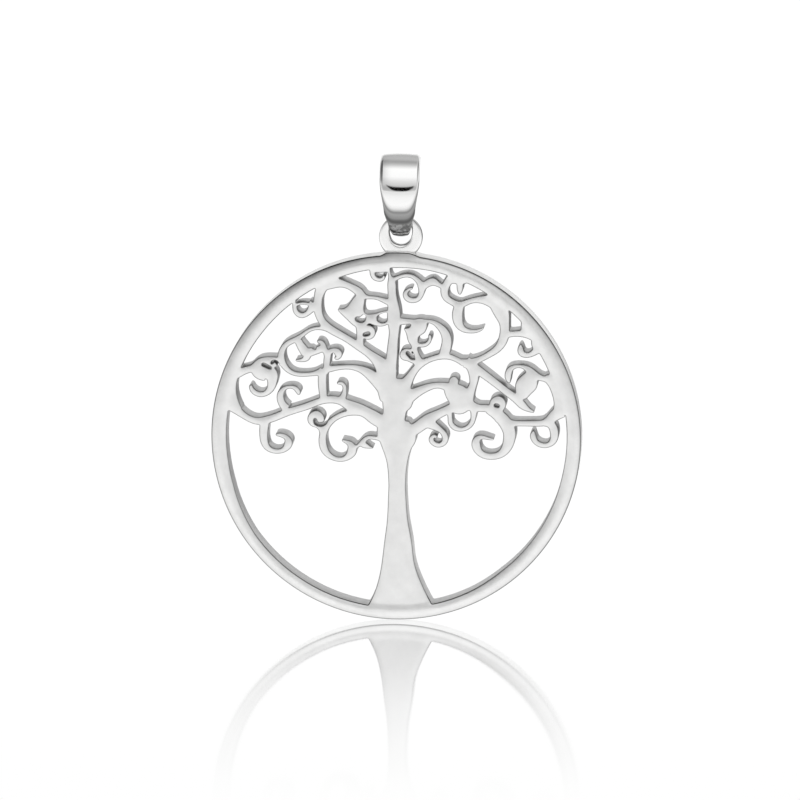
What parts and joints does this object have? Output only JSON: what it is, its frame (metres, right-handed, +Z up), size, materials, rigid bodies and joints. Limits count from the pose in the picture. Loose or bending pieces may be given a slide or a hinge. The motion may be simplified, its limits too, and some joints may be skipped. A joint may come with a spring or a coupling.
{
  "type": "tree of life pendant",
  "caption": "Round pierced disc pendant with a flared trunk and scrolling branches, hung by an eye ring from a tapered loop bail for a chain.",
  "frame": {"origin": "top of the bail's inside, where a chain bears", "axes": "+Z up along the hanging pendant, -Y towards the front face, +X to the right seen from the front"},
  "size_m": [0.0301, 0.004, 0.0382],
  "materials": {
    "satin_silver": "satin cast silver",
    "polished_silver": "polished silver"
  },
  "bodies": {
    "bail": {"bail": "polished_silver"},
    "disc": {"tree_disc": "satin_silver"}
  },
  "joints": [
    {"name": "pendant_swing", "type": "hinge", "parent": "bail", "child": "disc", "pos_m": [0, 0, -0.0049], "axis": [1, 0, 0], "range_deg": [-50, 50]}
  ]
}
